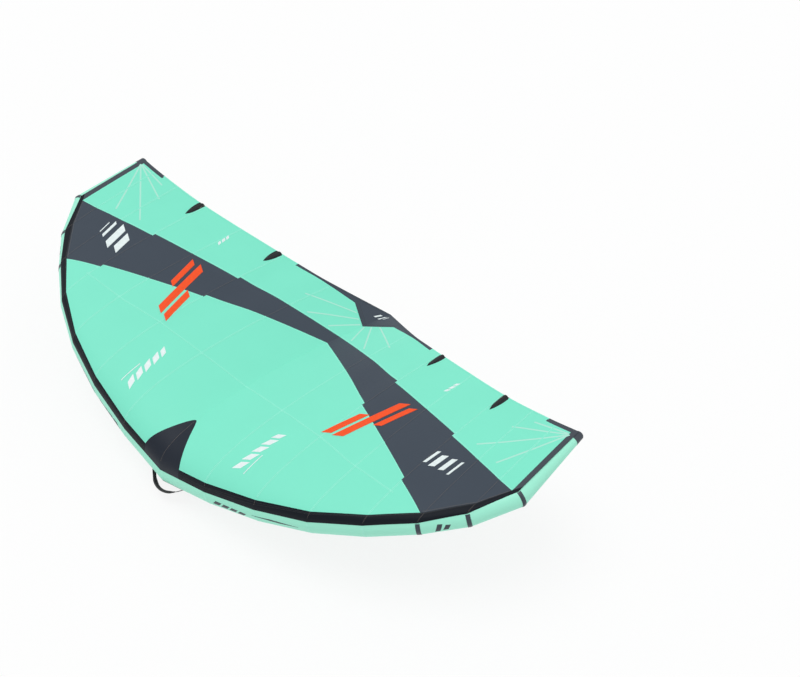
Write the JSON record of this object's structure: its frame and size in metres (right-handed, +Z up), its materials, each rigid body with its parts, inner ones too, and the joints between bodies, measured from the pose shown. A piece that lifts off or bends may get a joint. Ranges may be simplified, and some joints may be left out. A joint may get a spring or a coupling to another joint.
{
  "type": "inflatable wing for foil boarding",
  "caption": "Hand-held inflatable wing with a swept tubular leading edge, a central strut, a panelled canopy, webbing straps and an inflation valve.",
  "frame": {"origin": "bottom centre of the bounding box of the whole wing", "axes": "+X across the span, -Y forward past the nose, +Z up through the canopy; the strut lies level"},
  "size_m": [3.4672, 1.931, 0.774],
  "materials": {
    "canopy_cloth": "ripstop polyester, pale mint, satin",
    "stripe_cloth": "ripstop polyester, slate grey, satin",
    "edge_cloth": "heavy polyester, near black, matt",
    "sleeve_cloth": "dense woven polyester, pale mint, matt",
    "bladder_film": "thin translucent polyurethane film",
    "webbing": "woven black webbing, matt",
    "moulded_plastic": "moulded black plastic, fine grain",
    "batten_rod": "glass-filled rod, smooth",
    "spring_steel": "bright steel",
    "hose_rubber": "reinforced hose, translucent grey"
  },
  "bodies": {
    "wing": {"canopy_front_right": "canopy_cloth", "canopy_rear_right": "canopy_cloth", "canopy_stripe_right": "stripe_cloth", "leading_strip_right": "edge_cloth", "side_strip_right": "edge_cloth", "tip_cap_right": "edge_cloth", "leading_edge_band_right_1": "edge_cloth", "leading_edge_band_right_2": "edge_cloth", "leading_edge_band_right_3": "edge_cloth", "leading_edge_sleeve_right": "sleeve_cloth", "batten_pocket_inner_right": "webbing", "batten_inner_right": "batten_rod", "batten_pocket_outer_right": "webbing", "batten_outer_right": "batten_rod", "nose_webbing_right": "webbing", "canopy_front_left": "canopy_cloth", "canopy_rear_left": "canopy_cloth", "canopy_stripe_left": "stripe_cloth", "leading_strip_left": "edge_cloth", "side_strip_left": "edge_cloth", "tip_cap_left": "edge_cloth", "leading_edge_band_left_1": "edge_cloth", "leading_edge_band_left_2": "edge_cloth", "leading_edge_band_left_3": "edge_cloth", "leading_edge_sleeve_left": "sleeve_cloth", "batten_pocket_inner_left": "webbing", "batten_inner_left": "batten_rod", "batten_pocket_outer_left": "webbing", "batten_outer_left": "batten_rod", "nose_webbing_left": "webbing", "nose_fairing": "edge_cloth", "trailing_patch": "stripe_cloth", "leading_edge_bladder": "bladder_film", "strut_bladder": "bladder_film", "strut_sleeve": "sleeve_cloth", "strut_web": "sleeve_cloth", "rear_handle_webbing_fore": "webbing", "rear_handle_webbing_aft": "webbing", "rear_handle_patch_fore": "sleeve_cloth", "rear_handle_patch_aft": "sleeve_cloth", "front_handle_webbing_fore": "webbing", "front_handle_webbing_aft": "webbing", "front_handle_patch_fore": "sleeve_cloth", "front_handle_patch_aft": "sleeve_cloth", "nose_patch": "webbing", "valve_base": "moulded_plastic", "valve_core": "moulded_plastic", "valve_tether": "moulded_plastic", "leading_edge_port": "moulded_plastic", "strut_port": "moulded_plastic", "valve_spring": "spring_steel", "hose_clamp_front": "spring_steel", "hose_clamp_rear": "spring_steel", "inflation_hose": "hose_rubber"},
    "rear_handle": {"rear_handle_grip": "webbing"},
    "front_handle": {"front_handle_grip": "webbing"},
    "nose_handle": {"nose_handle_grip": "webbing"},
    "valve_cap": {"valve_cap": "moulded_plastic"},
    "valve_stem": {"valve_stem": "moulded_plastic"}
  },
  "joints": [
    {"name": "front_handle_swing", "type": "hinge", "parent": "wing", "child": "front_handle", "pos_m": [0, -0.47315, 0.05008], "axis": [0, 0.9999, 0.0105], "range_deg": [-75, 75], "stiffness_Nm_per_rad": 4},
    {"name": "rear_handle_swing", "type": "hinge", "parent": "wing", "child": "rear_handle", "pos_m": [0, 0.22107, 0.0608], "axis": [0, 0.9994, 0.036], "range_deg": [-75, 75], "stiffness_Nm_per_rad": 4},
    {"name": "nose_handle_swing", "type": "hinge", "parent": "wing", "child": "nose_handle", "pos_m": [0, -0.90721, 0.08982], "axis": [1, 0, 0], "range_deg": [-40, 70], "stiffness_Nm_per_rad": 0.4},
    {"name": "valve_cap_hinge", "type": "hinge", "parent": "wing", "child": "valve_cap", "pos_m": [-0.10047, -0.35645, 0.18619], "axis": [-0.1564, 0, -0.9877], "range_deg": [0, 130]},
    {"name": "valve_stem_slide", "type": "slide", "parent": "wing", "child": "valve_stem", "axis": [0.9877, 0, -0.1564], "range_m": [0, 0.004], "stiffness_N_per_m": 900, "springref_m": -0.002, "deforming": ["valve_spring"]}
  ]
}
